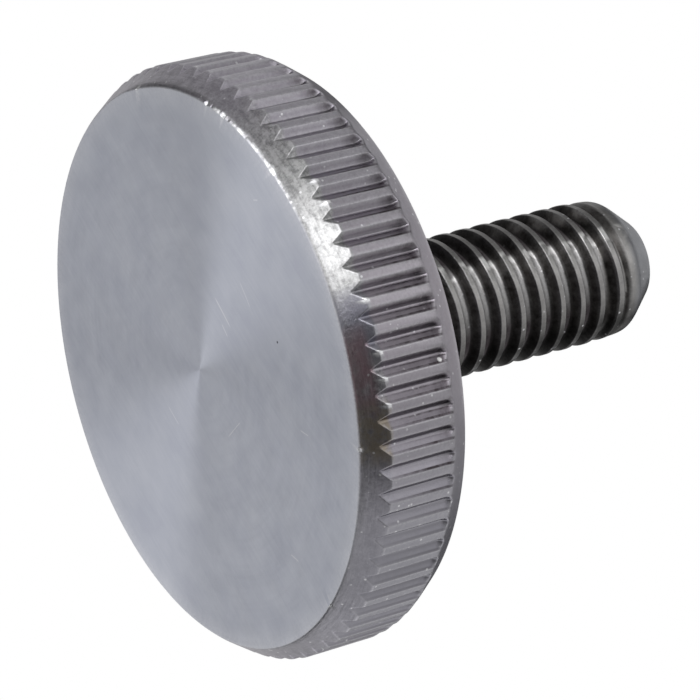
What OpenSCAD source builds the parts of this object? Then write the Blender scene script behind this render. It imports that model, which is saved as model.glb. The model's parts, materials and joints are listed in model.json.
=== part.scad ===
// Knurled thumb screw, low form, turned from one steel bar.
// It stands on the flat face of its head: the face lies at z = 0, centred on
// the origin, and the shank points up along +Z.

/* [Head] */
// Diameter over the ridges of the knurl
head_d = 24; // [18:0.5:48]
// Thickness of the head, from its flat face to its seat
head_h = 4.8; // [3:0.1:12]
// Length of each chamfer of the rim, along the axis
rim_chamfer_l = 1; // [0.5:0.1:1.4]
// Slope of each chamfer of the rim, from the axis, in degrees
rim_chamfer_angle = 34; // [25:1:45]

/* [Knurl] */
// Number of straight grooves round the rim
knurl_count = 75; // [40:1:100]
// Depth of a groove
knurl_depth = 0.25; // [0.1:0.01:0.3]
// Width of a groove's steeper flank, round the rim
knurl_steep_w = 0.27; // [0.15:0.01:0.3]
// Width of a groove's gentler flank, round the rim
knurl_gentle_w = 0.39; // [0.2:0.01:0.4]

/* [Shank] */
// Diameter over the crests of the thread
shank_d = 5.88; // [4:0.02:10]
// Length of the shank, from the seat to the tip
shank_l = 16.15; // [8:0.05:40]
// Depth of the relief turned between the seat and the thread
relief_depth = 0.65; // [0.3:0.05:1]
// Length of the floor of the relief, from the seat
relief_l = 2.1; // [1.5:0.1:3]
// Fillet where the relief meets the seat
relief_fillet_r = 0.5; // [0.1:0.05:0.6]

/* [Tip] */
// Length of the chamfer at the tip, along the axis
tip_chamfer_l = 1.5; // [0.5:0.1:2]
// Depth of the chamfer at the tip
tip_chamfer_depth = 1.2; // [0.4:0.05:1.5]
// Rounding where the chamfer meets the flat end
tip_round_r = 0.35; // [0.1:0.05:0.5]

/* [Hidden] */
$fn = 96;
// How far a cutting shape reaches past the metal it cuts
overcut = 0.5;

head_r = head_d / 2;
rim_chamfer_depth = rim_chamfer_l * tan(rim_chamfer_angle);
face_r = head_r - rim_chamfer_depth;

shank_r = shank_d / 2;
relief_r = shank_r - relief_depth;
tip_z = head_h + shank_l;
tip_r = shank_r - tip_chamfer_depth;

// The relief climbs back to the thread's crests at 45 degrees.
thread_start_z = head_h + relief_l + relief_depth;
thread_end_z = tip_z - tip_chamfer_l;

// The round at the tip touches both the flat end and the chamfer.
tip_chamfer_angle = atan2(tip_chamfer_depth, tip_chamfer_l);
tip_round_reach = tip_round_r * tan((90 - tip_chamfer_angle) / 2);
tip_round_centre = [tip_r - tip_round_reach, tip_z - tip_round_r];

// Half outline of the head, to be turned about the axis
module head_outline() {
    polygon([
        [0, 0],
        [face_r, 0],
        [head_r, rim_chamfer_l],
        [head_r, head_h - rim_chamfer_l],
        [face_r, head_h],
        [0, head_h]
    ]);
}

// One groove of the knurl, along +X: a V whose root lies nearer its steeper flank
module knurl_groove() {
    reach = (knurl_depth + overcut) / knurl_depth;
    translate([head_r - knurl_depth, (knurl_steep_w - knurl_gentle_w) / 2, -overcut])
        linear_extrude(head_h + 2 * overcut)
            polygon([
                [0, 0],
                reach * [knurl_depth, knurl_gentle_w],
                reach * [knurl_depth, -knurl_steep_w]
            ]);
}

// The disc, with grooves that run out on the chamfers of the rim
module head() {
    difference() {
        rotate_extrude() head_outline();
        for (i = [0 : knurl_count - 1])
            rotate(i * 360 / knurl_count) knurl_groove();
    }
}

// Half outline of the shank with its relief and its chamfered tip.
// It starts inside the head, so that the two are one piece of metal.
module shank_outline() {
    difference() {
        union() {
            polygon([
                [0, head_h / 2],
                [relief_r, head_h / 2],
                [relief_r, head_h + relief_l],
                [shank_r, thread_start_z],
                [shank_r, thread_end_z],
                tip_round_centre + tip_round_r * [cos(tip_chamfer_angle), sin(tip_chamfer_angle)],
                tip_round_centre + [0, tip_round_r],
                [0, tip_z]
            ]);
            translate(tip_round_centre) circle(r = tip_round_r);
            translate([relief_r, head_h]) square(relief_fillet_r);
        }
        translate([relief_r + relief_fillet_r, head_h + relief_fillet_r])
            circle(r = relief_fillet_r);
    }
}

module shank() {
    rotate_extrude() shank_outline();
}

module thumb_screw() {
    color([0.62, 0.62, 0.65]) {
        union() {
            head();
            shank();
        }
    }
}

thumb_screw();
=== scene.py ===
"""Knurled steel thumb screw: the turned, knurled and threaded surface, its steel, and the studio round it."""

import json
import math

import bpy
import numpy as np
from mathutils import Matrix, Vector


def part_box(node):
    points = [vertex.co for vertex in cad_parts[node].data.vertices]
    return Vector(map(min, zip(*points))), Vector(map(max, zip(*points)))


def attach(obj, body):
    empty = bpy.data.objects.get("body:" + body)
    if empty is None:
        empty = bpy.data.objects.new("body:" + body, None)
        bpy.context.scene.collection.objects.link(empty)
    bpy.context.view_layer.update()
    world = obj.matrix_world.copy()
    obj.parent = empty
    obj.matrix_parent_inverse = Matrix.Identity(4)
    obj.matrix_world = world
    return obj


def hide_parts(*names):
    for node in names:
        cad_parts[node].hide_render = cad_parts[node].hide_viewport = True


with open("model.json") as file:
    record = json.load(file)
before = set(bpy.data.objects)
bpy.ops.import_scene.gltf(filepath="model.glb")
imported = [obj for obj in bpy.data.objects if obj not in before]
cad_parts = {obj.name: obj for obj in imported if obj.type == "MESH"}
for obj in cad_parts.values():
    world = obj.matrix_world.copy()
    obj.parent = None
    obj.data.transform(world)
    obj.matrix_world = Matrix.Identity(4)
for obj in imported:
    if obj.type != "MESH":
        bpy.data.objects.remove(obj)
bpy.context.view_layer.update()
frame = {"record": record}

MM = 0.001
NODE = "thumb_screw"
SEED = 7

# Sizes that the frame gives, in millimetres
low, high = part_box(NODE)
mounts = {mount["name"]: mount for mount in frame["record"]["mounts"]}
HEAD_R = (high.y - low.y) / 2 / MM
TIP_Z = high.z / MM
HEAD_H = mounts["seat"]["pos_m"][2] / MM
SHANK_R = mounts["shank"]["dims"]["r_mm"]

# Head, in millimetres. Its grooves are as deep and as wide as the construction's. Added to them are a flat
# root, a small lip beside each ridge and an end that rises to a share of the depth at the back chamfer.
KNURLS = 75
KNURL_DEPTH = 0.25
KNURL_UNEVEN = 0.03
KNURL_STEEP_W = 0.28
KNURL_GENTLE_W = 0.38
KNURL_HALF_W = (KNURL_STEEP_W + KNURL_GENTLE_W) / 2
KNURL_ROOT = KNURL_HALF_W - KNURL_GENTLE_W
KNURL_ROOT_W = 0.07
LIP_W = 0.045
LIP_DEPTH = 0.04
BACK_DEPTH_SHARE = 0.35
BACK_RISE_L = 0.3
CHAMFER_L = 1.0
CHAMFER_SLOPE = math.tan(math.radians(34.0))
FACE_R = HEAD_R - CHAMFER_L * CHAMFER_SLOPE
EDGE_SOFT = 0.014
BACK_EDGE_SOFT = 0.03
EDGE_ROUND = 0.075

# Shank, in millimetres
RELIEF_R = SHANK_R - 0.65
RELIEF_L = 2.1
RELIEF_FILLET = 0.5
PITCH = 1.0
THREAD_DEPTH = 0.45
THREAD_FLANK = math.tan(math.radians(30.0))
THREAD_SOFT = 0.012
THREAD_START_Z = HEAD_H + RELIEF_L + 0.05
THREAD_STOP_Z = TIP_Z - 0.45
THREAD_SEAM = 0.01
THREAD_FADE_Z = (18.0, 19.3)
CREST_HALF = 0.115
CREST_Z = 10.755
TIP_CHAMFER_L = 1.5
TIP_CHAMFER_DEPTH = 1.2
TIP_ROUND = 0.35
TIP_TAPER_L = 2.75
TIP_TAPER = 0.08

# The mesh round the axis: columns on the shank, and radii of the rings on the face, the seat and the tip
SHANK_COLUMNS = 180
FACE_RINGS = (0.5, 2.0, 4.0, 6.0, 8.0, 9.5, 10.5)
SEAT_RINGS = (10.8, 9.0, 7.0, 5.0, 3.5)
TIP_RING = 0.6

# Where the grooves are darker, where painted shade lies on their ends and painted glints on the corners, and
# where the face's edge is rougher and rounder, round the axis: the first and last azimuth in degrees, and the
# width over which it comes and goes inside them
STEEP_DARK = (-110, -50, 10)
ROOT_DARK = (-132, -64, 8)
GENTLE_DARK = (-135, -64, 8)
GENTLE_DARKER = (-104, -66, 6)
LIP_DARK = (-128, -52, 10)
BEHIND_DARK = (-5, 170, 15)
ENDS_SHADED = (-160, -55, 15)
CORNERS_GLINT_RANGE = (-128, -50, 1)
EDGE_ROUGH = (-152, -112, 6)
EDGE_ROUNDER = (-185, -48, 12)
# The azimuth about which the thread's root is clean and lit, free of oil and painted shade
SHANK_LIT_CLEAN_SIDE = -92

# How much darkening, painted shade, wear and painted highlight there is, from 0 to 1. Above 1 the metal is
# painted white, as wear with painted glints.
END_SHADE = 0.75
FAR_FLANK_OIL_AND_SHADE = 0.3
ROOT_HIGHLIGHT = 0.5
CREST_WEAR = 0.3
WHITE_WEAR_AND_GLINT = 1.8
# The share of the ridges' corners that are painted white, as wear with painted glints, and how far a surface
# bends at a sharp edge
CORNERS_WHITENED = 0.45
SHARP_BEND = 0.2

# Knocks on the edge of the face: how deep they are, how many times deeper the marked ones are, and the
# middle and half width of each of those in degrees, which are painted white as wear with painted glints.
# Along the last stretch of azimuths the edge carries an uneven painted highlight.
EDGE_KNOCK = 0.02
EDGE_KNOCK_DEEP = 2.5
EDGE_MARKS = ((-143, 0.6), (-149, 0.4), (-176, 0.6), (-125, 0.5), (-67, 0.3), (-28, 0.5))
EDGE_HIGHLIGHT_STRETCH = np.arange(-147, -115, 0.55)

# A white chip on the rim and a dark speck on the face: place, size and colour
CHIP_R, CHIP_AZIMUTH, CHIP_Z = 11.85, math.radians(-80.6), 3.55
CHIP = (CHIP_R * math.cos(CHIP_AZIMUTH), CHIP_R * math.sin(CHIP_AZIMUTH), CHIP_Z)
SPECK = (-0.23, -6.5, 0.0)
SPOTS = ((CHIP, 0.125, (1.0, 1.0, 1.0, 1)), (SPECK, 0.06, (0.05, 0.05, 0.06, 1)))

# Marks on the face: the middle of each stroke, its direction, length and half width
BRUSH_TURN = 150.0
SCRATCHES = (
    (-1.9, -2.95, 155.0, 1.5, 0.05),
    (-1.2, -2.75, 160.0, 0.6, 0.04),
    (-2.3, -5.0, 165.0, 1.2, 0.03),
    (3.35, -6.75, 120.0, 0.6, 0.035),
    (7.95, -3.6, 125.0, 0.6, 0.04),
    (2.6, -1.5, 250.0, 1.4, 0.03),
    (1.5, 3.1, 150.0, 1.0, 0.03),
    (-5.6, -7.6, 100.0, 0.35, 0.04),
)

# Colours. A pair is the darkest and the palest that a surface varies between.
FACE_COLOURS = ((0.334, 0.348, 0.402, 1), (0.384, 0.398, 0.446, 1))
RIM_COLOURS = ((0.330, 0.311, 0.353, 1), (0.438, 0.417, 0.464, 1))
SHANK_COLOURS = ((0.345, 0.338, 0.334, 1), (0.495, 0.484, 0.472, 1))
# Oil colours, which also paint shade on the thread's flanks
OIL_AND_SHADE_COLOURS = ((0.022, 0.018, 0.016, 1), (0.052, 0.047, 0.044, 1))
NEUTRAL_CHAMFER = (0.425, 0.425, 0.428, 1)
# The chamfer's blue, purple and straw are painted reflections of its dark, coloured surroundings
BLUE_CHAMFER = (0.285, 0.282, 0.335, 1)
PURPLE_CHAMFER = (0.366, 0.255, 0.288, 1)
STRAW_CHAMFER = (0.350, 0.300, 0.235, 1)
PURPLE_RIM = (0.430, 0.375, 0.420, 1)
BLUE_RIM = (0.352, 0.358, 0.400, 1)
TIP_COLOUR = (0.400, 0.408, 0.440, 1)
# The groove colour darkens the grooves and paints shade. The worn colour is wear with painted highlights, the
# white one is wear with painted glints, and the last is a painted glint.
GROOVE_DARK = (0.060, 0.048, 0.055, 1)
WORN_AND_HIGHLIGHT_METAL = (0.620, 0.620, 0.640, 1)
WHITE_WEAR_AND_GLINT_METAL = (0.930, 0.930, 0.950, 1)
GLINT_METAL = (0.930, 0.920, 0.910, 1)
# Flecks that are painted glints
FLECK_COLOUR = (0.850, 0.850, 0.870, 1)
SCRATCH_COLOUR = (0.480, 0.488, 0.520, 1)
NO_CHANGE = (1, 1, 1, 1)

# Camera: distance and the point it looks at in millimetres, then azimuth, elevation and roll in degrees
CAMERA_DISTANCE = 152.63
CAMERA_AIM = (0.73, 0.0, 6.85)
CAMERA_TURN = (-89.6, -28.39, 75.5)
CAMERA_LENS = 199.8

# The studio. The screw stands in a white surround of strength 1, as its steel shows, and each soft box
# adds to it: azimuth, elevation and spread in degrees, strength, and how hard its edge is, with 1 the
# softest. One with a strength below zero is a dark card. The first two rows and the last three were set
# one by one. The 15 between them are the output of a program that fitted them to the photographed steel's
# brightness, so they are data and not a design, and no example to follow.
WHITE = 1.0
ROOM_LIGHT = 0.45
DARKEST = 0.02
SOFT_BOXES = (
    (150, -51, 6.0, 3.6, 4),
    (130, -65, 7.0, 0.9, 4),
    (-58, -38, 36.7, -1.32, 1),
    (-152, 48, 35.0, -0.76, 1),
    (-120, -33, 14.0, 4.34, 1),
    (166, -38, 17.1, -1.54, 1),
    (48, -23, 16.3, -1.49, 1),
    (48, 36, 18.7, -1.03, 1),
    (124, -18, 14.7, -1.15, 1),
    (164, 58, 12.7, -1.45, 1),
    (-98, -35, 13.6, -1.24, 1),
    (35, 12, 13.4, 0.99, 1),
    (75, -32, 14.5, 0.65, 1),
    (-73, -8, 14.1, 0.56, 1),
    (-98, 33, 11.5, 0.83, 1),
    (-23, -14, 11.4, 0.54, 1),
    (22, 83, 11.7, -0.48, 1),
    (-165, 30, 16.0, 0.38, 1),
    (98, 38, 13.0, -1.1, 1),
    (10, 52, 14.0, -0.15, 1),
)
LAMP_PLACE = (112, 68)
LAMP_DISTANCE = 300.0
LAMP_SPREAD = 20.0
LAMP_LEVEL = 0.8
FLOOR_HALF = 1500.0
FLOOR_DROP = 0.05
FLOOR_COLOUR = (0.8, 0.8, 0.8, 1)
FLOOR_GLOW = 0.68


def on_sphere(azimuth, elevation):
    """The direction to an azimuth and elevation in degrees, seen from the screw."""
    a, e = math.radians(azimuth), math.radians(elevation)
    return (math.cos(e) * math.cos(a), math.cos(e) * math.sin(a), math.sin(e))


# ---------------------------------------------------------------- camera

def make_camera():
    """The photograph's view: from below the face, with the shank pointing away, up and to the right."""
    azimuth, elevation, roll = CAMERA_TURN
    data = bpy.data.cameras.new("camera")
    data.sensor_width = 36.0
    data.lens = CAMERA_LENS
    data.clip_start, data.clip_end = 0.01, 10.0
    camera = bpy.data.objects.new("camera", data)
    bpy.context.scene.collection.objects.link(camera)
    camera.location = CAMERA_DISTANCE * MM * Vector(on_sphere(azimuth, elevation))
    looking = Vector(CAMERA_AIM) * MM - camera.location
    camera.rotation_euler = looking.to_track_quat("-Z", "Y").to_euler()
    camera.rotation_euler.rotate_axis("Z", math.radians(roll))
    bpy.context.scene.camera = camera


# ---------------------------------------------------------------- skin

class Skin:
    """A watertight mesh made of rings about the Z axis, each running with rising azimuth."""

    def __init__(self):
        self.points = []
        self.faces = []
        self.count = 0

    def add(self, points):
        points = np.asarray(points, dtype=float).reshape(-1, 3)
        index = np.arange(self.count, self.count + len(points))
        self.points.append(points)
        self.count += len(points)
        return index

    def ring(self, azimuth, r, z):
        r = np.broadcast_to(r, azimuth.shape)
        z = np.broadcast_to(z, azimuth.shape)
        return self.add(np.stack([r * np.cos(azimuth), r * np.sin(azimuth), z], axis=1))

    def face(self, *corners):
        kept = [c for i, c in enumerate(corners) if c != corners[i - 1]]
        if len(set(kept)) >= 3:
            self.faces.append(tuple(int(c) for c in kept))

    def band(self, first, second):
        """Joins two rings of as many points, from the first outward to the second."""
        for j in range(len(first)):
            k = (j + 1) % len(first)
            self.face(first[j], first[k], second[k], second[j])

    def stitch(self, first, first_azimuth, second, second_azimuth):
        """Joins two rings of different counts with triangles, going round by azimuth."""
        n, m = len(first), len(second)
        i = j = 0
        while i < n or j < m:
            next_first = first_azimuth[i + 1] if i + 1 < n else 2 * math.pi + first_azimuth[0]
            next_second = second_azimuth[j + 1] if j + 1 < m else 2 * math.pi + second_azimuth[0]
            if j >= m or (i < n and next_first <= next_second):
                self.face(first[i % n], first[(i + 1) % n], second[j % m])
                i += 1
            else:
                self.face(first[i % n], second[(j + 1) % m], second[j % m])
                j += 1

    def fan(self, ring, z, upward):
        centre = self.add([[0.0, 0.0, z]])[0]
        for j in range(len(ring)):
            k = (j + 1) % len(ring)
            if upward:
                self.face(ring[j], ring[k], centre)
            else:
                self.face(centre, ring[k], ring[j])

    def all_points(self):
        return np.concatenate(self.points)


def soft_min(a, b, softness):
    """The smaller of two lengths, with the corner between them rounded."""
    gap = np.abs(a - b)
    return np.minimum(a, b) - softness * np.log1p(np.exp(-gap / softness))


def ramp(value, start, stop):
    """0 up to the start, 1 from the stop on, and straight between them. It may run down as well as up."""
    return np.clip((value - start) / (stop - start), 0.0, 1.0)


def plateau(value, start, stop, width):
    """1 between the start and the stop, falling to 0 over a width inside each end."""
    return np.clip((value - start) / width, 0, 1) * np.clip((stop - value) / width, 0, 1)


def wrapped(angle, turn):
    """The same angle between minus half a turn and half a turn."""
    return (angle + turn / 2) % turn - turn / 2


# ---------------------------------------------------------------- head

def knurl_columns():
    """What each column of the rim has: azimuth, distance from its groove's middle, groove, darkening and wear
    with painted highlights.

    The grooves are darker along the steep flank, right of the root and under the gentle edge. They are
    not all as dark: each of the three lines is strong on one side of the rim and fades round it.
    """
    low, high = KNURL_ROOT - KNURL_ROOT_W / 2, KNURL_ROOT + KNURL_ROOT_W / 2
    half, pitch = KNURL_HALF_W, 2 * math.pi * HEAD_R / KNURLS
    groove = np.arange(KNURLS)
    around = wrapped(groove * 360 / KNURLS, 360)
    behind = 0.5 * plateau(around, *BEHIND_DARK)
    steep = 0.12 + 0.88 * plateau(around, *STEEP_DARK) + behind
    line = 0.25 + 0.75 * plateau(around, *ROOT_DARK) + behind
    gentle = 0.25 * plateau(around, *GENTLE_DARK) + 0.2 * plateau(around, *GENTLE_DARKER) + 0.4 * behind
    lip = 0.3 + 0.7 * plateau(around, *LIP_DARK) + behind
    none = 0.0 * steep
    across = (
        # The steep flank, from the ridge down
        (-half - 0.02, none, 0.0),
        (-half, 0.3 * steep, 0.0),
        (-half + LIP_W, 0.7 * steep, 0.0),
        (0.5 * (LIP_W - half + low), 0.6 * steep, 0.0),
        # The root, with a painted highlight
        (low, 0.15 * steep, 0.3),
        (KNURL_ROOT, none, 0.3),
        (high + 0.01, 0.2 * line, 0.2),
        # The gentle flank, up to the ridge
        (high + 0.06, 0.9 * line, 0.0),
        (high + 0.115, 0.4 * line, 0.0),
        (0.5 * high + 0.5 * half, gentle, 0.0),
        (half - LIP_W - 0.075, gentle, 0.0),
        (half - LIP_W - 0.05, lip, 0.0),
        (half - LIP_W + 0.005, lip, 0.0),
        (half - 0.012, 0.6 * lip, 0.0),
        # The ridge, with its edge worn and painted with a highlight
        (half + 0.01, none, 1.0),
        (half + 0.055, none, 0.25),
        (0.35 * half + 0.65 * (pitch - half), none, 0.0),
    )
    offset = np.array([column[0] for column in across])
    azimuth = groove[:, None] * 2 * math.pi / KNURLS + offset[None, :] / HEAD_R
    darkening = np.stack([column[1] for column in across], axis=1)
    column_wear_and_highlight = np.tile([column[2] for column in across], (KNURLS, 1))
    return (
        azimuth.ravel(),
        np.tile(offset, KNURLS),
        np.repeat(groove, len(across)),
        darkening.ravel(),
        column_wear_and_highlight.ravel(),
    )


def groove_floor(offset, groove, rng):
    """Radius of the groove at each column, before the outline of the rim trims it."""
    half = KNURL_HALF_W
    depth = KNURL_DEPTH * (1.0 + rng.normal(0.0, KNURL_UNEVEN, KNURLS))[groove]
    flank_w = np.where(offset < KNURL_ROOT, KNURL_STEEP_W, KNURL_GENTLE_W) - LIP_W - KNURL_ROOT_W / 2
    up_flank = np.maximum(np.abs(offset - KNURL_ROOT) - KNURL_ROOT_W / 2, 0.0) / flank_w
    flank = depth - (depth - LIP_DEPTH) * up_flank
    lip = LIP_DEPTH * (half - np.abs(offset)) / LIP_W
    return HEAD_R - np.where(np.abs(offset) > half - LIP_W, lip, flank)


def crossing(floor, depth_share):
    """How far along a chamfer each column of the groove, at a share of its depth, comes out of it."""
    raised = HEAD_R - depth_share * (HEAD_R - np.minimum(floor, HEAD_R))
    return np.clip((raised - FACE_R) / CHAMFER_SLOPE, 0.0, CHAMFER_L)


def chamfered(z):
    """Radius of the cone of the nearer chamfer, which the rim may not pass."""
    return np.minimum(FACE_R + z * CHAMFER_SLOPE, FACE_R + (HEAD_H - z) * CHAMFER_SLOPE)


def rim_radius(z, floor):
    softness = np.where(z > HEAD_H / 2, BACK_EDGE_SOFT, EDGE_SOFT)
    rise = np.clip((HEAD_H - z - crossing(floor, BACK_DEPTH_SHARE)) / BACK_RISE_L, 0.0, 1.0)
    share = BACK_DEPTH_SHARE + (1 - BACK_DEPTH_SHARE) * rise * rise * (3 - 2 * rise)
    floor = HEAD_R - share * (HEAD_R - floor)
    return soft_min(soft_min(HEAD_R, chamfered(z), softness), floor, softness)


def rim_rows(crossed):
    """How far from the face or the seat the rim's rows lie, from the edge to the middle of the rim.

    They are close together where the grooves come out on the chamfer.
    """
    near = [0.11, 0.3 * crossed, 0.6 * crossed + 0.02]
    close = [crossed + step for step in (-0.09, -0.045, -0.018, 0.0, 0.018, 0.045, 0.09)]
    return near + close + [crossed + 0.18, crossed + 0.3, 0.5 * (crossed + 0.3 + HEAD_H / 2)]


def make_head(skin, rng):
    """The face and the rim with its grooves. Returns the ring at the seat's outer edge."""
    azimuth, offset, groove, _, _ = knurl_columns()
    floor = groove_floor(offset, groove, rng)

    # The face, from its centre out, with fewer columns near the centre
    inner_azimuth = np.arange(SHANK_COLUMNS) * 2 * math.pi / SHANK_COLUMNS
    inner = skin.ring(inner_azimuth, FACE_RINGS[0], 0.0)
    skin.fan(inner, 0.0, upward=False)
    for r in FACE_RINGS[1:]:
        ring = skin.ring(inner_azimuth, r, 0.0)
        skin.band(inner, ring)
        inner = ring

    # Its edge, which is rounded and knocked
    around = wrapped(np.degrees(azimuth), 360)
    edge_round = EDGE_ROUND * (0.45 + 0.55 * plateau(around, *EDGE_ROUNDER))
    knocked = np.where(plateau(around, *EDGE_ROUGH) > 0, 1.0, 0.15) * rng.uniform(-1, 1, len(azimuth))
    for middle, half_width in EDGE_MARKS:
        knocked = np.where(np.abs(wrapped(around - middle, 360)) < half_width, EDGE_KNOCK_DEEP, knocked)
    knocked = EDGE_KNOCK * knocked
    last = skin.ring(azimuth, FACE_R - 1.6 * edge_round, 0.0)
    skin.stitch(inner, inner_azimuth, last, azimuth)

    def outward(ring_r, ring_z):
        nonlocal last
        ring = skin.ring(azimuth, ring_r, ring_z)
        skin.band(last, ring)
        last = ring

    outward(FACE_R - 1.0 * edge_round - 0.5 * knocked, 0.09 * edge_round)
    outward(FACE_R - 0.25 * edge_round - knocked, 0.48 * edge_round + 0.4 * np.abs(knocked))
    outward(FACE_R - 0.6 * knocked, 0.9 * edge_round)

    # The rim, and the rounded edge of the seat
    front = rim_rows(crossing(floor, 1.0))
    back = [HEAD_H - row for row in reversed(rim_rows(crossing(floor, BACK_DEPTH_SHARE)))]
    for z in front + [HEAD_H / 2] + back:
        z = np.broadcast_to(z, azimuth.shape)
        outward(rim_radius(z, floor), z)
    for inside, under in ((0.0, 0.9), (0.35, 0.32), (0.9, 0.08), (1.6, 0.0)):
        outward(FACE_R - inside * EDGE_ROUND, HEAD_H - under * EDGE_ROUND)
    return last, azimuth


# ---------------------------------------------------------------- shank

def shank_envelope(z):
    """Radius that the turned blank has before the thread is cut."""
    relief = RELIEF_R + (z - (HEAD_H + RELIEF_L))
    chamfer = SHANK_R - (z - (TIP_Z - TIP_CHAMFER_L)) * TIP_CHAMFER_DEPTH / TIP_CHAMFER_L
    taper = SHANK_R - (z - (TIP_Z - TIP_TAPER_L)) * TIP_TAPER
    tip = soft_min(chamfer, taper, 4 * THREAD_SOFT)
    return soft_min(soft_min(SHANK_R, relief, THREAD_SOFT), tip, THREAD_SOFT)


def thread_profile(phase, z):
    """Radius of the thread at a share of a pitch from the crest's middle. It fades out before the tip."""
    depth = THREAD_DEPTH * (1 - ramp(z, *THREAD_FADE_Z))
    away = np.abs(wrapped(phase, 1.0)) * PITCH
    flank = SHANK_R - (away - CREST_HALF) / THREAD_FLANK
    crested = soft_min(SHANK_R, flank, THREAD_SOFT)
    return -soft_min(-crested, -(SHANK_R - depth), 2 * THREAD_SOFT)


def thread_shares():
    """Where the rows of one turn of the thread lie, as shares of a pitch from the crest's middle."""
    flank_end = CREST_HALF + THREAD_DEPTH * THREAD_FLANK
    crest = [0.5 * CREST_HALF, CREST_HALF - 0.02, CREST_HALF, CREST_HALF + 0.02]
    flank = [CREST_HALF + share * (flank_end - CREST_HALF) for share in (0.33, 0.66)]
    half = crest + flank + [flank_end - 0.025, flank_end + 0.025]
    return [0.0] + half + [0.5] + [1.0 - share for share in reversed(half)]


def make_shank(skin, seat_edge, seat_azimuth):
    azimuth = np.arange(SHANK_COLUMNS) * 2 * math.pi / SHANK_COLUMNS

    # The seat, then the fillet and the floor of the relief
    last = skin.ring(azimuth, SEAT_RINGS[0], HEAD_H)
    skin.stitch(seat_edge, seat_azimuth, last, azimuth)

    def inward(ring_r, ring_z):
        nonlocal last
        ring = skin.ring(azimuth, ring_r, ring_z)
        skin.band(last, ring)
        last = ring

    for r in SEAT_RINGS[1:] + (RELIEF_R + RELIEF_FILLET + 0.05,):
        inward(r, HEAD_H)
    for degrees in range(0, 91, 15):
        turn = math.radians(degrees)
        inward(
            RELIEF_R + RELIEF_FILLET * (1 - math.sin(turn)),
            HEAD_H + RELIEF_FILLET * (1 - math.cos(turn)),
        )
    inward(RELIEF_R, HEAD_H + RELIEF_L - 0.2)

    # The thread: rows follow the helix, and stop at a level ring at each end
    inward(shank_envelope(np.full(SHANK_COLUMNS, THREAD_START_Z)), THREAD_START_Z)
    first = last
    last = skin.ring(azimuth, shank_envelope(np.full(SHANK_COLUMNS, THREAD_STOP_Z)), THREAD_STOP_Z)
    shares = thread_shares()
    turns_below = math.ceil((CREST_Z - THREAD_START_Z) / PITCH) + 2
    turns_above = math.ceil((THREAD_STOP_Z - CREST_Z) / PITCH) + 2
    rows = [turn + share for turn in range(-turns_below, turns_above) for share in shares]
    grid = np.empty((len(rows), SHANK_COLUMNS), dtype=int)
    for i, row in enumerate(rows):
        z = CREST_Z + PITCH * (row + azimuth / (2 * math.pi))
        r = soft_min(shank_envelope(z), thread_profile(np.full(SHANK_COLUMNS, row), z), THREAD_SOFT)
        above, below = z > THREAD_START_Z + THREAD_SEAM, z < THREAD_STOP_Z - THREAD_SEAM
        inside = above & below
        grid[i] = np.where(above, last, first)
        grid[i][inside] = skin.ring(azimuth[inside], r[inside], z[inside])
    for i in range(len(rows) - 1):
        for j in range(SHANK_COLUMNS - 1):
            skin.face(grid[i, j], grid[i, j + 1], grid[i + 1, j + 1], grid[i + 1, j])
        # The last column joins the first one a whole turn further up
        up = i + len(shares)
        if up + 1 < len(rows):
            skin.face(grid[i, -1], grid[up, 0], grid[up + 1, 0], grid[i + 1, -1])

    # The rest of the chamfer, the round and the flat end
    tip_r = SHANK_R - TIP_CHAMFER_DEPTH
    slope = math.atan2(TIP_CHAMFER_DEPTH, TIP_CHAMFER_L)
    reach = TIP_ROUND * math.tan((math.pi / 2 - slope) / 2)
    for turn in np.linspace(slope, math.pi / 2, 6):
        inward(
            tip_r - reach + TIP_ROUND * math.cos(turn),
            TIP_Z - TIP_ROUND * (1 - math.sin(turn)),
        )
    inward(TIP_RING, TIP_Z)
    skin.fan(last, TIP_Z, upward=True)


# ---------------------------------------------------------------- masks

def convexity(mesh, points, normals):
    """How far the surface bends outward at each point, from 0 on a flat or in a hollow to 1 on an edge."""
    edges = np.empty(2 * len(mesh.edges), dtype=np.int32)
    mesh.edges.foreach_get("vertices", edges)
    a, b = edges[0::2], edges[1::2]
    along = points[b] - points[a]
    length = np.linalg.norm(along, axis=1)
    bend = np.einsum("ij,ij->i", normals[b] - normals[a], along) / length
    total, count = np.zeros(len(points)), np.zeros(len(points))
    for end in (a, b):
        np.add.at(total, end, bend)
        np.add.at(count, end, 1.0)
    return np.clip(total / np.maximum(count, 1.0) / SHARP_BEND, 0.0, 1.0)


def groove_darkening(z, turned, sunk, column_azimuth, column_darkening):
    """Darker lines along the grooves, and painted shade across their blunt ends at the back chamfer."""
    from_seat = HEAD_H - z
    lines = ramp(sunk, 0.0, 0.04) * ramp(from_seat, 0.86, 0.96) * np.interp(z, (0.8, 2.6), (0.3, 1.0))
    lines = lines * np.interp(turned, column_azimuth, column_darkening, period=2 * math.pi)
    ends = END_SHADE * plateau(from_seat, 1.0, 1.42, 0.06) * ramp(sunk, 0.0, 0.03)
    return np.maximum(lines, ends * plateau(wrapped(np.degrees(turned), 360), *ENDS_SHADED))


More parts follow.
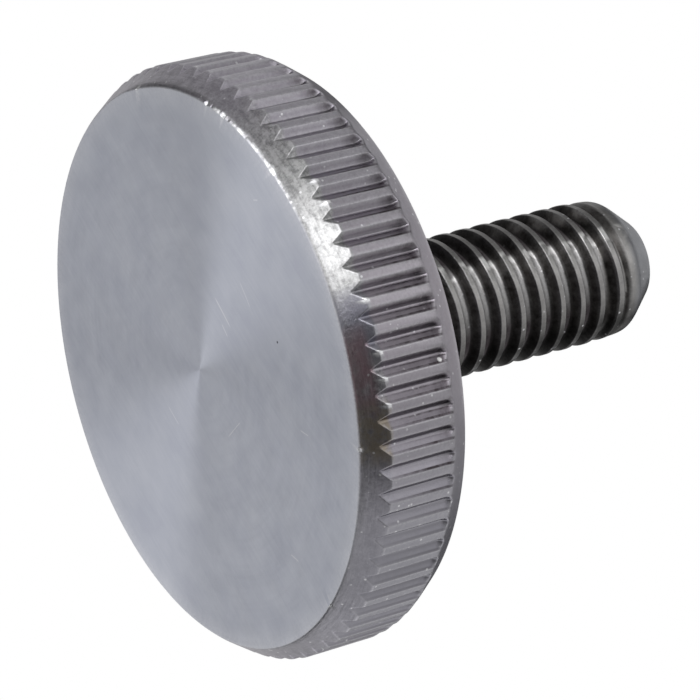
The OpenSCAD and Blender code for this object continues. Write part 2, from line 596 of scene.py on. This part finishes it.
def thread_masks(r, z, turned, on_shank, normals):
    """The thread's flanks with oil and painted shade, its root, and the oil with painted shade in the root,
    which is clean and lit on one side.
    """
    depth = np.clip((shank_envelope(z) - r) / THREAD_DEPTH, 0, 1)
    flank = ramp(depth, 0.0, 0.06) * ramp(depth, 1.0, 0.88)
    flank = flank * np.where(normals[:, 2] < -0.1, 1.0, FAR_FLANK_OIL_AND_SHADE)
    in_root = on_shank & (z > HEAD_H + RELIEF_L) & (z < THREAD_FADE_Z[0])
    root = np.where(in_root, ramp(depth, 0.85, 0.95), 0)
    from_lit_side = np.abs(wrapped(np.degrees(turned) - SHANK_LIT_CLEAN_SIDE, 360))
    oil_and_shade = root * np.interp(from_lit_side, (15, 42, 70), (0, 0.95, 0.6))
    return np.where(on_shank, flank, 0), root, oil_and_shade


def face_edge_wear_and_highlight(around):
    """The edge of the face painted white: wear with painted glints at the knocks, and an uneven painted
    highlight along one stretch.
    """
    amount = np.random.default_rng(SEED + 1).uniform(0.2, 2.1, len(EDGE_HIGHLIGHT_STRETCH))
    wear_and_highlight = np.interp(around, EDGE_HIGHLIGHT_STRETCH, amount, 0, 0)
    for middle, half_width in EDGE_MARKS:
        knocked = np.abs(wrapped(around - middle, 360)) < half_width
        wear_and_highlight = np.where(knocked, np.maximum(wear_and_highlight, WHITE_WEAR_AND_GLINT), wear_and_highlight)
    return wear_and_highlight


def whitened_corners(z, turned, column_azimuth, column_offset):
    """Corners of some ridges painted white where they come out on the front chamfer: wear with painted
    glints.
    """
    offset = np.interp(turned, column_azimuth, column_offset, period=2 * math.pi)
    beside = np.abs(offset - KNURL_HALF_W - 0.02) < 0.06
    chosen = np.random.default_rng(SEED + 2).uniform(0, 1, KNURLS) < CORNERS_WHITENED
    groove = np.floor(turned / (2 * math.pi) * KNURLS).astype(int) % KNURLS
    facing = plateau(wrapped(np.degrees(turned), 360), *CORNERS_GLINT_RANGE) > 0
    return (np.abs(z - CHAMFER_L) < 0.1) & beside & chosen[groove] & facing


def add_masks(mesh, points, normals):
    """Point attributes that the steel reads: darkening in the grooves, with painted shade at their ends and
    in the thread's root, thread flanks, the shank, and wear with painted highlights.
    """
    x, y, z = points.T
    r, turned = np.hypot(x, y), np.arctan2(y, x) % (2 * math.pi)
    azimuth, offset, _, darkening, column_wear_and_highlight = knurl_columns()
    on_rim = (z > 0.1) & (z < HEAD_H - 0.1) & (r > FACE_R)
    on_ridges = on_rim & (z > CHAMFER_L + 0.1) & (z < HEAD_H - CHAMFER_L)
    on_edge = (r > FACE_R - 0.15) & (z > 0.001) & (z < 0.1)
    on_shank = z > HEAD_H + 0.001

    sunk = np.minimum(HEAD_R, chamfered(z)) - r
    darkening = groove_darkening(z, turned, sunk, azimuth, darkening)
    flank, root, oil_and_shade = thread_masks(r, z, turned, on_shank, normals)

    wear_and_highlight = convexity(mesh, points, normals)
    wear_and_highlight = np.where(on_shank, CREST_WEAR * wear_and_highlight, wear_and_highlight)
    # The thread's root is lightened with a painted highlight where it has no oil
    wear_and_highlight = np.maximum(wear_and_highlight, ROOT_HIGHLIGHT * np.maximum(root - 1.3 * oil_and_shade, 0))
    ridge_wear_and_highlight = np.interp(turned, azimuth, column_wear_and_highlight, period=2 * math.pi)
    wear_and_highlight = np.where(on_ridges, np.maximum(wear_and_highlight, ridge_wear_and_highlight), wear_and_highlight)
    wear_and_highlight = np.where(on_rim & whitened_corners(z, turned, azimuth, offset), WHITE_WEAR_AND_GLINT, wear_and_highlight)
    edge_wear_and_highlight = face_edge_wear_and_highlight(wrapped(np.degrees(turned), 360))
    wear_and_highlight = np.where(on_edge, np.maximum(wear_and_highlight, edge_wear_and_highlight), wear_and_highlight)

    masks = {"groove": np.where(on_rim, darkening, oil_and_shade), "flank": flank, "shank": on_shank, "wear_and_highlight": wear_and_highlight}
    for name, values in masks.items():
        attribute = mesh.attributes.new(name, "FLOAT", "POINT")
        attribute.data.foreach_set("value", np.asarray(values, dtype=np.float32))


# ---------------------------------------------------------------- piece

def area_normals(points, faces):
    """Vertex normals weighted by area, so that the flats stay flat beside their small rounded edges."""
    total = np.zeros_like(points)
    for size in (3, 4):
        corners = np.array([f for f in faces if len(f) == size])
        p = points[corners]
        if size == 3:
            area = np.cross(p[:, 1] - p[:, 0], p[:, 2] - p[:, 0])
        else:
            area = np.cross(p[:, 2] - p[:, 0], p[:, 3] - p[:, 1])
        for c in range(size):
            np.add.at(total, corners[:, c], area)
    return total / np.linalg.norm(total, axis=1, keepdims=True)


def make_screw():
    rng = np.random.default_rng(SEED)
    skin = Skin()
    seat_edge, seat_azimuth = make_head(skin, rng)
    make_shank(skin, seat_edge, seat_azimuth)
    points = skin.all_points()
    mesh = bpy.data.meshes.new("turned_screw")
    mesh.from_pydata((points * MM).tolist(), [], skin.faces)
    mesh.update()
    normals = area_normals(points, skin.faces)
    mesh.normals_split_custom_set_from_vertices(normals)
    add_masks(mesh, points, normals)
    piece = bpy.data.objects.new("turned_screw", mesh)
    bpy.context.scene.collection.objects.link(piece)
    return piece


# ---------------------------------------------------------------- nodes

class Nodes:
    """Short calls for building a node tree. A value may be a number, a tuple or another node's socket."""

    def __init__(self, tree):
        self.tree = tree

    def add(self, kind, **settings):
        node = self.tree.nodes.new("ShaderNode" + kind)
        for name, value in settings.items():
            setattr(node, name, value)
        return node

    def feed(self, socket, value):
        if isinstance(value, bpy.types.NodeSocket):
            self.tree.links.new(value, socket)
        else:
            socket.default_value = value

    def fill(self, sockets, values):
        for socket, value in zip(sockets, values):
            self.feed(socket, value)

    def math(self, operation, *values):
        node = self.add("Math", operation=operation)
        self.fill(node.inputs, values)
        return node.outputs[0]

    def times(self, product, *factors):
        for factor in factors:
            product = self.math("MULTIPLY", product, factor)
        return product

    def weigh(self, *parts):
        """The sum of some values, each times its weight."""
        value, weight = parts[-1]
        total = self.math("MULTIPLY", value, weight)
        for value, weight in reversed(parts[:-1]):
            total = self.math("MULTIPLY_ADD", value, weight, total)
        return total

    def invert(self, share):
        return self.math("SUBTRACT", 1.0, share)

    def vector(self, operation, *values):
        node = self.add("VectorMath", operation=operation)
        self.fill(node.inputs, values)
        return node.outputs["Value" if operation in ("DOT_PRODUCT", "LENGTH", "DISTANCE") else "Vector"]

    def scale(self, vector, factor):
        node = self.add("VectorMath", operation="SCALE")
        self.feed(node.inputs[0], vector)
        node.inputs["Scale"].default_value = factor
        return node.outputs["Vector"]

    def join(self, x, y, z):
        node = self.add("CombineXYZ")
        self.fill(node.inputs, (x, y, z))
        return node.outputs[0]

    def noise(self, vector, scale, detail=2.0, roughness=0.5):
        node = self.add("TexNoise")
        self.feed(node.inputs["Vector"], vector)
        node.inputs["Scale"].default_value = scale
        node.inputs["Detail"].default_value = detail
        node.inputs["Roughness"].default_value = roughness
        return node.outputs["Fac"]

    def remap(self, value, low, high, to_low=0.0, to_high=1.0):
        node = self.add("MapRange")
        for name, number in (("From Min", low), ("From Max", high), ("To Min", to_low), ("To Max", to_high)):
            node.inputs[name].default_value = number
        self.feed(node.inputs["Value"], value)
        return node.outputs["Result"]

    def mix(self, share, first, second):
        """From the first number to the second."""
        node = self.add("Mix", data_type="FLOAT")
        self.fill((node.inputs[0], node.inputs[2], node.inputs[3]), (share, first, second))
        return node.outputs[0]

    def blend(self, share, first, second, kind="MIX"):
        """From the first colour to the second."""
        node = self.add("Mix", data_type="RGBA", blend_type=kind)
        self.fill((node.inputs[0], node.inputs[6], node.inputs[7]), (share, first, second))
        return node.outputs[2]

    def shade(self, colour, level):
        """A colour times the same number in red, green and blue."""
        return self.blend(1.0, colour, self.join(level, level, level), "MULTIPLY")

    def attribute(self, name):
        return self.add("Attribute", attribute_name=name).outputs["Fac"]

    def bump(self, height, distance, normal=None):
        node = self.add("Bump")
        node.inputs["Distance"].default_value = distance
        node.inputs["Strength"].default_value = 1.0
        self.feed(node.inputs["Height"], height)
        if normal is not None:
            self.feed(node.inputs["Normal"], normal)
        return node.outputs["Normal"]


# ---------------------------------------------------------------- steel

class Steel:
    """The screw's material. It holds the textures and masks that colour, roughness and relief share."""

    def __init__(self, n):
        self.n = n

        # Place in millimetres, and the direction round the axis
        self.place = n.scale(n.add("TexCoord").outputs["Object"], 1 / MM)
        split = n.add("SeparateXYZ")
        n.feed(split.inputs[0], self.place)
        self.height = split.outputs["Z"]
        flat = n.join(split.outputs["X"], split.outputs["Y"], 0.0)
        self.round_axis = n.vector("NORMALIZE", flat)
        self.along_tool = n.math("ADD", n.vector("LENGTH", flat), self.height)

        # What the tool left: fine rings that fade in and out round the axis, and broader bands
        self.fine, self.broad = self.rings(7.0, 2.2, 2.0), self.rings(1.1, 1.6, 3.0)
        self.streak = self.rings(4.5, 9.0, 3.0)

        # The brushing of the face, and clouds, stains and grain of falling size
        turn = math.radians(BRUSH_TURN)
        along = n.vector("DOT_PRODUCT", self.place, (0.5 * math.cos(turn), 0.5 * math.sin(turn), 0.0))
        across = n.vector("DOT_PRODUCT", self.place, (-8.0 * math.sin(turn), 8.0 * math.cos(turn), 0.0))
        self.brushed = n.noise(n.join(along, across, 0.0), 1.0, 2.0)
        self.cloud = n.noise(self.place, 0.45, 3.0, 0.6)
        self.mottle = n.noise(self.place, 1.0, 4.0, 0.6)
        self.blotch = n.noise(self.place, 3.0, 3.0, 0.65)
        self.grain = n.noise(self.place, 9.0, 3.0, 0.7)

        self.groove, self.flank = n.attribute("groove"), n.attribute("flank")
        self.shank, self.wear_and_highlight = n.attribute("shank"), n.attribute("wear_and_highlight")
        on_face = n.remap(self.height, 0.0, 0.05, 1, 0)
        self.off_face = n.invert(on_face)
        self.on_rim = n.math("SUBTRACT", self.off_face, self.shank)
        self.on_chamfer = n.times(self.on_rim, n.remap(self.height, CHAMFER_L, CHAMFER_L + 0.15, 1, 0))
        self.at_tip = n.remap(self.height, TIP_Z - 1.7, TIP_Z - 1.3)

    def rings(self, per_mm, round_share, detail):
        n = self.n
        lift = n.join(0.0, 0.0, n.times(self.along_tool, per_mm))
        return n.noise(n.vector("ADD", n.scale(self.round_axis, round_share), lift), 1.0, detail, 0.6)

    def facing(self, azimuth, start, full):
        """How far a point lies toward an azimuth, from 0 to 1 between two distances off it in degrees."""
        share = self.n.vector("DOT_PRODUCT", self.round_axis, on_sphere(azimuth, 0))
        return self.n.remap(share, math.cos(math.radians(start)), math.cos(math.radians(full)))

    def varied(self, texture, low, high, colours):
        return self.n.blend(self.n.remap(texture, low, high), *colours)

    def rim_colour(self, tone):
        """The rim, with a front chamfer that is rougher turned and tinted in places; the tints on the chamfer
        are painted reflections.
        """
        n = self.n
        colour = self.varied(tone, 0.35, 0.65, RIM_COLOURS)
        colour = n.blend(n.times(self.on_chamfer, self.facing(-108, 36, 14)), colour, NEUTRAL_CHAMFER)

        # Streaks round the chamfer, with pits, which even out towards one side
        level = n.weigh((self.streak, 0.3), (self.blotch, 0.4), (self.grain, 0.3))
        level = n.remap(level, 0.42, 0.56, 0.6, 1.25)
        even = n.remap(self.facing(-104, 40, 26), 0.0, 1.0, 0.7, 0.0)
        level = n.math("MULTIPLY_ADD", n.invert(level), even, level)
        streaks = n.blend(self.on_chamfer, NO_CHANGE, n.join(level, level, level))
        colour = n.blend(1.0, colour, streaks, "MULTIPLY")

        # Tints round the axis. Those on the front chamfer are painted reflections of its dark, coloured
        # surroundings.
        chamfer = self.on_chamfer
        mottled = n.remap(self.mottle, 0.3, 0.5, 0.3, 1.0)
        blotched = n.remap(self.blotch, 0.35, 0.55, 0.2, 0.9)
        near_face = n.remap(self.height, 0.55, 0.8, 1, 0)
        for share, tint in (
            (n.times(self.facing(-84, 35, 10), 0.35, n.invert(chamfer)), PURPLE_RIM),
            (n.times(chamfer, self.facing(-90, 8, 3)), BLUE_CHAMFER),
            (n.times(self.facing(-35, 45, 10), 0.5), BLUE_RIM),
            (n.times(chamfer, self.facing(-81, 10, 5), mottled, near_face), PURPLE_CHAMFER),
            (n.times(chamfer, self.facing(-70, 7, 3), blotched), STRAW_CHAMFER),
        ):
            colour = n.blend(share, colour, tint)
        return colour

    def bare_colour(self):
        n = self.n
        tone = n.weigh((self.broad, 0.15), (self.brushed, 0.25), (self.cloud, 0.6))
        face = self.varied(tone, 0.38, 0.62, FACE_COLOURS)
        tone = n.math("ADD", n.times(self.grain, 0.5), n.times(self.blotch, 0.5))
        shank = n.blend(self.at_tip, self.varied(tone, 0.35, 0.65, SHANK_COLOURS), TIP_COLOUR)
        return n.blend(self.shank, n.blend(self.on_rim, face, self.rim_colour(tone)), shank)

    def colour(self):
        """The bare steel, then oil and grime, both with painted shade, and the darkening of the grooves on
        it, and wear and painted highlights through them.
        """
        n = self.n
        # Oil on the thread's flanks with painted shade, mostly on those that face the head
        oil_and_shade = self.varied(self.mottle, 0.4, 0.6, OIL_AND_SHADE_COLOURS)
        oily_and_shaded = n.times(self.flank, n.remap(self.blotch, 0.3, 0.6, 1.0, 0.85))
        colour = n.blend(oily_and_shaded, self.bare_colour(), oil_and_shade)

        # Grime with painted shade: darker towards two sides of the shank and at its tip
        grime_and_shade = n.math("MAXIMUM", self.facing(-22, 46, 14), n.times(self.facing(-148, 34, 20), 0.6))
        grime_and_shade = n.math("MAXIMUM", grime_and_shade, n.times(self.at_tip, 0.55))
        grime_and_shade = n.times(grime_and_shade, n.remap(self.mottle, 0.3, 0.55, 0.7, 1.0))
        clean_and_lit = n.math("MULTIPLY_ADD", n.times(grime_and_shade, self.shank), -0.85, 1.0)
        colour = n.shade(colour, clean_and_lit)
        # Darkening in the grooves: lines along the rim's grooves, painted shade at their back ends, and oil
        # with painted shade in the thread's root
        darkened = n.times(self.groove, n.remap(self.blotch, 0.35, 0.65, 0.65, 1.1))
        colour = n.blend(darkened, colour, GROOVE_DARK)

        # Worn edges with painted highlights, metal painted white, and a painted glint on one side of the
        # thread's crests
        wear_and_highlight = n.times(self.wear_and_highlight, clean_and_lit, n.remap(self.grain, 0.35, 0.6, 0.35, 0.8))
        colour = n.blend(wear_and_highlight, colour, WORN_AND_HIGHLIGHT_METAL)
        colour = n.blend(n.remap(self.wear_and_highlight, 1.05, 1.5), colour, WHITE_WEAR_AND_GLINT_METAL)
        painted_glint = n.times(self.facing(-116, 7.5, 3.5), n.remap(n.noise(self.place, 1.7, 0.0), 0.40, 0.52))
        painted_glint = n.times(painted_glint, self.shank, n.invert(self.flank), n.invert(self.at_tip), 0.9)
        colour = n.blend(painted_glint, colour, GLINT_METAL)
        colour = n.blend(self.flecks(), colour, FLECK_COLOUR)

        for middle, size, paint in SPOTS:
            away = n.vector("DISTANCE", self.place, middle)
            colour = n.blend(n.remap(away, 0.6 * size, size, 1, 0), colour, paint)
        return colour

    def flecks(self):
        """Bright flecks, painted glints, on the rim's ridges and the thread's crests, but not on the face or
        the seat.
        """
        n = self.n
        cells = n.add("TexVoronoi", feature="F1")
        n.feed(cells.inputs["Vector"], self.place)
        cells.inputs["Scale"].default_value = 2.6
        fleck = n.remap(cells.outputs["Distance"], 0.10, 0.16, 1, 0)
        below_seat = n.remap(self.height, HEAD_H - 0.2, HEAD_H - 0.05, 1, 0)
        off_seat = n.math("MAXIMUM", below_seat, self.shank)
        undarkened = n.invert(n.math("MAXIMUM", self.flank, self.groove))
        return n.times(fleck, n.remap(self.mottle, 0.47, 0.54), self.off_face, off_seat, undarkened, 0.8)

    def scratches(self):
        """Short strokes on the face, each 0 away from its line and 1 on it."""
        n = self.n
        total = 0.0
        for x, y, degrees, length, width in SCRATCHES:
            cos, sin = math.cos(math.radians(degrees)), math.sin(math.radians(degrees))
            away = n.vector("SUBTRACT", self.place, (x, y, 0))
            along = n.math("ABSOLUTE", n.vector("DOT_PRODUCT", away, (cos, sin, 0)))
            across = n.math("ABSOLUTE", n.vector("DOT_PRODUCT", away, (-sin, cos, 0)))
            near = n.remap(across, 0.3 * width, width, 1, 0)
            within = n.remap(along, 0.35 * length, 0.5 * length, 1, 0)
            total = n.math("MAXIMUM", total, n.times(near, within))
        return total

    def roughness(self):
        n = self.n
        uneven = n.remap(self.mottle, 0.3, 0.7, -0.015, 0.02)
        face = n.math("ADD", n.remap(self.fine, 0.3, 0.7, 0.35, 0.37), uneven)
        rim = n.math("ADD", n.remap(self.grain, 0.3, 0.7, 0.30, 0.37), n.times(self.groove, 0.1))
        return n.mix(self.off_face, face, rim)

    def relief(self, scratches):
        """Bump for what is finer than the mesh, in millimetres."""
        n = self.n
        normal = n.bump(n.math("ADD", self.fine, self.brushed), 0.0008 * MM)
        normal = n.bump(n.times(self.grain, self.off_face), 0.006 * MM, normal)
        normal = n.bump(n.times(self.streak, self.on_chamfer), 0.012 * MM, normal)
        return n.bump(scratches, 0.002 * MM, normal)


def make_steel():
    material = bpy.data.materials.new("steel")
    material.use_nodes = True
    n = Nodes(material.node_tree)
    steel = Steel(n)
    scratches = steel.scratches()
    shader = material.node_tree.nodes["Principled BSDF"]
    shader.inputs["Metallic"].default_value = 1.0
    shader.inputs["Anisotropic"].default_value = 0.88
    shader.inputs["Anisotropic Rotation"].default_value = 0.25
    n.feed(shader.inputs["Base Color"], n.blend(scratches, steel.colour(), SCRATCH_COLOUR))
    n.feed(shader.inputs["Roughness"], steel.roughness())
    n.feed(shader.inputs["Normal"], steel.relief(scratches))
    n.feed(shader.inputs["Tangent"], n.add("Tangent", direction_type="RADIAL", axis="Z").outputs[0])
    return material


# ---------------------------------------------------------------- studio

def make_world():
    """A white surround, in which the steel sees the soft boxes and dark cards as well.

    The floor is lit by a plain dimmer room, so that it keeps the screw's shadow.
    """
    world = bpy.data.worlds.new("studio")
    bpy.context.scene.world = world
    world.use_nodes = True
    n = Nodes(world.node_tree)
    direction = n.add("TexCoord").outputs["Generated"]
    light = WHITE
    for azimuth, elevation, spread, strength, hardness in SOFT_BOXES:
        tightness = 1 / math.radians(spread) ** 2
        facing = n.vector("DOT_PRODUCT", direction, on_sphere(azimuth, elevation))
        glow = n.math("EXPONENT", n.times(n.math("SUBTRACT", facing, 1.0), tightness))
        if hardness > 1:
            glow = n.math("MINIMUM", n.times(glow, hardness), 1.0)
        light = n.math("MULTIPLY_ADD", glow, strength, light)
    light = n.math("MAXIMUM", light, DARKEST)
    ray = n.add("LightPath")
    mirrored = n.math("MAXIMUM", ray.outputs["Is Glossy Ray"], ray.outputs["Is Transmission Ray"])
    around = n.mix(mirrored, ROOM_LIGHT, light)
    background = world.node_tree.nodes["Background"]
    background.inputs["Color"].default_value = (1, 1, 1, 1)
    n.feed(background.inputs["Strength"], n.mix(ray.outputs["Is Camera Ray"], around, WHITE))


def make_lamp():
    """The overhead soft lamp, which gives the floor its shadow."""
    light = bpy.data.lights.new("overhead", "AREA")
    light.shape = "DISK"
    light.size = 2 * LAMP_DISTANCE * MM * math.tan(math.radians(LAMP_SPREAD))
    # An area lamp's radiance is its power over its area and pi
    light.energy = LAMP_LEVEL * math.pi * math.pi * (light.size / 2) ** 2
    lamp = bpy.data.objects.new("overhead", light)
    direction = Vector(on_sphere(*LAMP_PLACE))
    lamp.location = direction * LAMP_DISTANCE * MM
    lamp.rotation_euler = direction.to_track_quat("Z", "Y").to_euler()
    bpy.context.scene.collection.objects.link(lamp)


def make_floor():
    """A pale floor, seen only from above, so that it hides nothing from a camera under it."""
    half, z = FLOOR_HALF * MM, -FLOOR_DROP * MM
    mesh = bpy.data.meshes.new("floor")
    corners = [(-half, -half, z), (half, -half, z), (half, half, z), (-half, half, z)]
    mesh.from_pydata(corners, [], [(0, 1, 2, 3)])
    floor = bpy.data.objects.new("floor", mesh)
    bpy.context.scene.collection.objects.link(floor)

    material = bpy.data.materials.new("floor")
    material.use_nodes = True
    n = Nodes(material.node_tree)
    material.node_tree.nodes.remove(material.node_tree.nodes["Principled BSDF"])
    pale = n.add("BsdfDiffuse")
    pale.inputs["Color"].default_value = FLOOR_COLOUR
    glow = n.add("Emission")
    glow.inputs["Strength"].default_value = FLOOR_GLOW
    shown = n.add("AddShader")
    n.fill(shown.inputs, (pale.outputs[0], glow.outputs[0]))
    from_above = n.invert(n.add("NewGeometry").outputs["Backfacing"])
    seen = n.times(n.add("LightPath").outputs["Is Camera Ray"], from_above)
    cover = n.add("MixShader")
    n.fill(cover.inputs, (seen, n.add("BsdfTransparent").outputs[0], shown.outputs[0]))
    n.feed(material.node_tree.nodes["Material Output"].inputs["Surface"], cover.outputs[0])
    mesh.materials.append(material)


def make_studio():
    bpy.context.scene.view_settings.view_transform = "Standard"
    make_world()
    make_lamp()
    make_floor()


make_camera()
screw = make_screw()
screw.data.materials.append(make_steel())
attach(screw, "root")
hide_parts(NODE)
make_studio()
